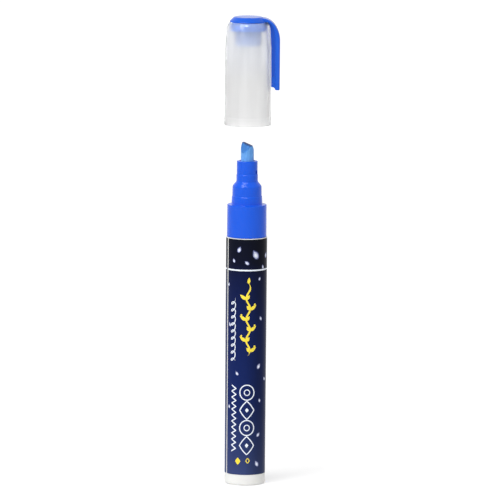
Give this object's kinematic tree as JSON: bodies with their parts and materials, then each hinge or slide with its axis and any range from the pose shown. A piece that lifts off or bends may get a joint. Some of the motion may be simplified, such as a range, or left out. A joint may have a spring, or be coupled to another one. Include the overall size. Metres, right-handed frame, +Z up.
{
  "type": "waterproof marker",
  "caption": "Valve-action chisel marker with a printed barrel, a stepped blue front and a frosted clip cap lifted off above the nib.",
  "frame": {"origin": "middle of the barrel's flat base", "axes": "+Z up the marker from the base to the cap, +X towards the clip, -Y towards the viewer of the picture"},
  "size_m": [0.0203, 0.0172, 0.1735],
  "materials": {
    "barrel": "smooth white moulded plastic",
    "label_wrap": "satin printed film, navy with pale flecks and light line drawings",
    "front_section": "smooth saturated blue moulded plastic",
    "section_seal_ring": "matt black rubber",
    "nib": "matt pressed fibre stained blue by ink",
    "valve_seat": "smooth natural plastic",
    "seat_gasket": "matt rubber",
    "valve_stem": "smooth natural plastic",
    "stem_seal": "matt rubber",
    "valve_spring": "bright stainless wire",
    "valve_cage": "natural plastic",
    "mixing_balls": "polished steel",
    "cap_shell": "frosted milky plastic that lets the blue plug show softly",
    "cap_liner": "translucent plastic",
    "cap_clip": "smooth saturated blue moulded plastic"
  },
  "bodies": {
    "barrel": {"barrel": "barrel", "label_wrap": "label_wrap", "front_section": "front_section", "section_seal_ring": "section_seal_ring", "valve_seat": "valve_seat", "seat_gasket": "seat_gasket", "valve_spring": "valve_spring", "valve_cage": "valve_cage"},
    "pump": {"nib": "nib", "valve_stem": "valve_stem", "stem_seal": "stem_seal"},
    "ball_1": {"mixing_ball_1": "mixing_balls"},
    "ball_2": {"mixing_ball_2": "mixing_balls"},
    "cap": {"cap_shell": "cap_shell", "cap_liner": "cap_liner", "cap_clip": "cap_clip"}
  },
  "joints": [
    {"name": "cap_slide", "type": "slide", "parent": "barrel", "child": "cap", "axis": [0, 0, 1], "range_m": [-0.0412, 0]},
    {"name": "nib_press", "type": "slide", "parent": "barrel", "child": "pump", "axis": [0, 0, 1], "range_m": [-0.0025, 0], "stiffness_N_per_m": 900, "springref_m": 0.0015, "deforming": ["valve_spring"]},
    {"name": "ball_1_roll", "type": "slide", "parent": "barrel", "child": "ball_1", "axis": [0, 0, 1], "range_m": [0, 0.0764]},
    {"name": "ball_2_roll", "type": "slide", "parent": "barrel", "child": "ball_2", "axis": [0, 0, 1], "range_m": [0, 0.0764]}
  ]
}
